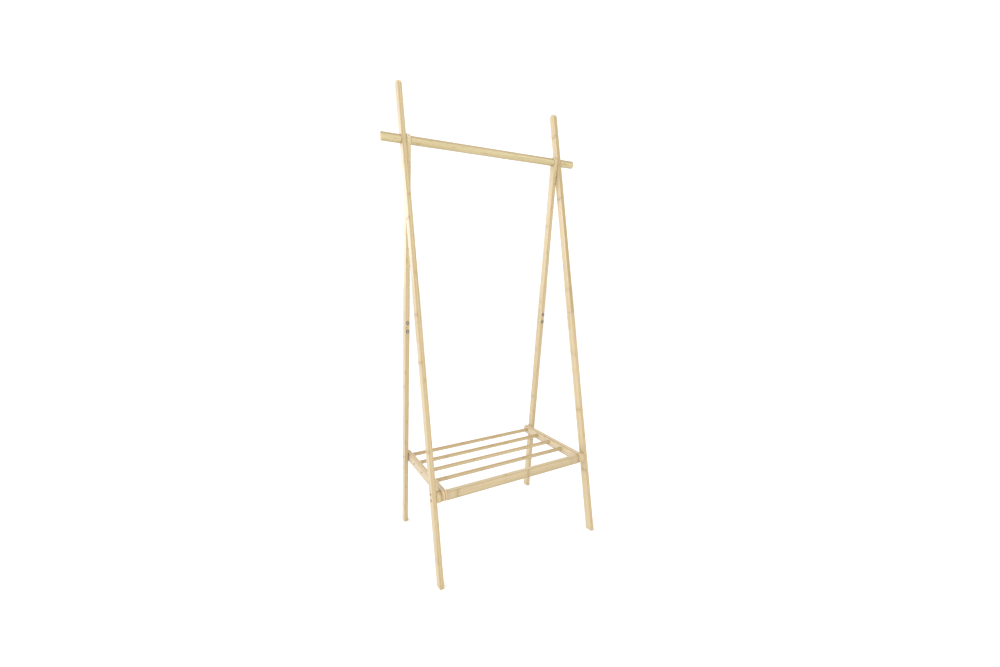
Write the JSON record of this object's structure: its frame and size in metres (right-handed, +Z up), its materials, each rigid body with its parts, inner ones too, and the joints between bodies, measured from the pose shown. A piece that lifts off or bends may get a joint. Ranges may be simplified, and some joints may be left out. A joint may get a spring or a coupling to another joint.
{
  "type": "clothes rack",
  "caption": "Free-standing bamboo clothes rack: crossed-leg side frames, a round hanging rail through the crossings and a slatted shelf low between the legs.",
  "frame": {"origin": "on the floor, under the middle of the hanging rail", "axes": "+X along the rail to the right, +Y to the back, +Z up; the front edge board of the shelf is on the -Y side"},
  "size_m": [0.75, 0.47, 1.6],
  "materials": {
    "bamboo_frame": "clear satin lacquer on laminated bamboo",
    "bamboo_rail": "clear satin lacquer on turned bamboo",
    "bamboo_shelf": "clear satin lacquer on laminated bamboo",
    "zinc_steel": "zinc plated",
    "bronzed_steel": "dark bronzed"
  },
  "bodies": {
    "root": {"left_front_leg_lower": "bamboo_frame", "left_front_leg_upper": "bamboo_frame", "left_front_leg_bolt_1": "zinc_steel", "left_front_leg_insert_1": "zinc_steel", "left_front_leg_bolt_2": "zinc_steel", "left_front_leg_insert_2": "zinc_steel", "left_rear_leg_lower": "bamboo_frame", "left_rear_leg_upper": "bamboo_frame", "left_rear_leg_bolt_1": "zinc_steel", "left_rear_leg_insert_1": "zinc_steel", "left_rear_leg_bolt_2": "zinc_steel", "left_rear_leg_insert_2": "zinc_steel", "left_rail_stub": "bamboo_rail", "left_rail_screw": "zinc_steel", "left_front_corner_screw_1": "bronzed_steel", "left_front_corner_screw_2": "bronzed_steel", "left_rear_corner_screw": "bronzed_steel", "left_side_board": "bamboo_shelf", "left_spacer": "bamboo_frame", "left_slat_screw_2": "bronzed_steel", "left_slat_screw_3": "bronzed_steel", "left_slat_screw_4": "bronzed_steel", "left_front_board_screw_1": "bronzed_steel", "left_front_board_screw_2": "bronzed_steel", "right_front_leg_lower": "bamboo_frame", "right_front_leg_upper": "bamboo_frame", "right_front_leg_bolt_1": "zinc_steel", "right_front_leg_insert_1": "zinc_steel", "right_front_leg_bolt_2": "zinc_steel", "right_front_leg_insert_2": "zinc_steel", "right_rear_leg_lower": "bamboo_frame", "right_rear_leg_upper": "bamboo_frame", "right_rear_leg_bolt_1": "zinc_steel", "right_rear_leg_insert_1": "zinc_steel", "right_rear_leg_bolt_2": "zinc_steel", "right_rear_leg_insert_2": "zinc_steel", "right_rail_stub": "bamboo_rail", "right_rail_screw": "zinc_steel", "right_front_corner_screw_1": "bronzed_steel", "right_front_corner_screw_2": "bronzed_steel", "right_rear_corner_screw": "bronzed_steel", "right_side_board": "bamboo_shelf", "right_spacer": "bamboo_frame", "right_slat_screw_2": "bronzed_steel", "right_slat_screw_3": "bronzed_steel", "right_slat_screw_4": "bronzed_steel", "right_front_board_screw_1": "bronzed_steel", "right_front_board_screw_2": "bronzed_steel", "rail": "bamboo_rail", "front_board": "bamboo_shelf", "slat_1": "bamboo_shelf", "slat_2": "bamboo_shelf", "slat_3": "bamboo_shelf", "slat_4": "bamboo_shelf"}
  },
  "joints": []
}
